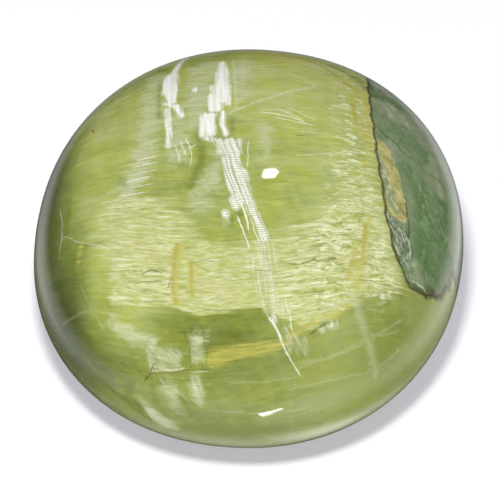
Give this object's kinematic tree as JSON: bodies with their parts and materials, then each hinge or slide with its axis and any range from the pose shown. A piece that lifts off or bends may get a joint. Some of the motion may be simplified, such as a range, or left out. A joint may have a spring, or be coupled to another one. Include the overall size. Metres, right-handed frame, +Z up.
{
  "type": "oval opal cabochon",
  "caption": "Oval gemstone cabochon with a high polished dome, a rounded flank and a flat base, green and silky with darker host rock at one side.",
  "frame": {"origin": "middle of the flat base, on the surface the stone rests on", "axes": "+X across the stone towards its host rock side, +Y along the stone, +Z up through the crown of the dome"},
  "size_m": [0.0122, 0.0136, 0.0069],
  "materials": {
    "opal": "high polish, yellow-green silky opal with white streaks, cream fibres, yellow stains and grey-green host rock"
  },
  "bodies": {
    "root": {"opal_cabochon": "opal"}
  },
  "joints": []
}
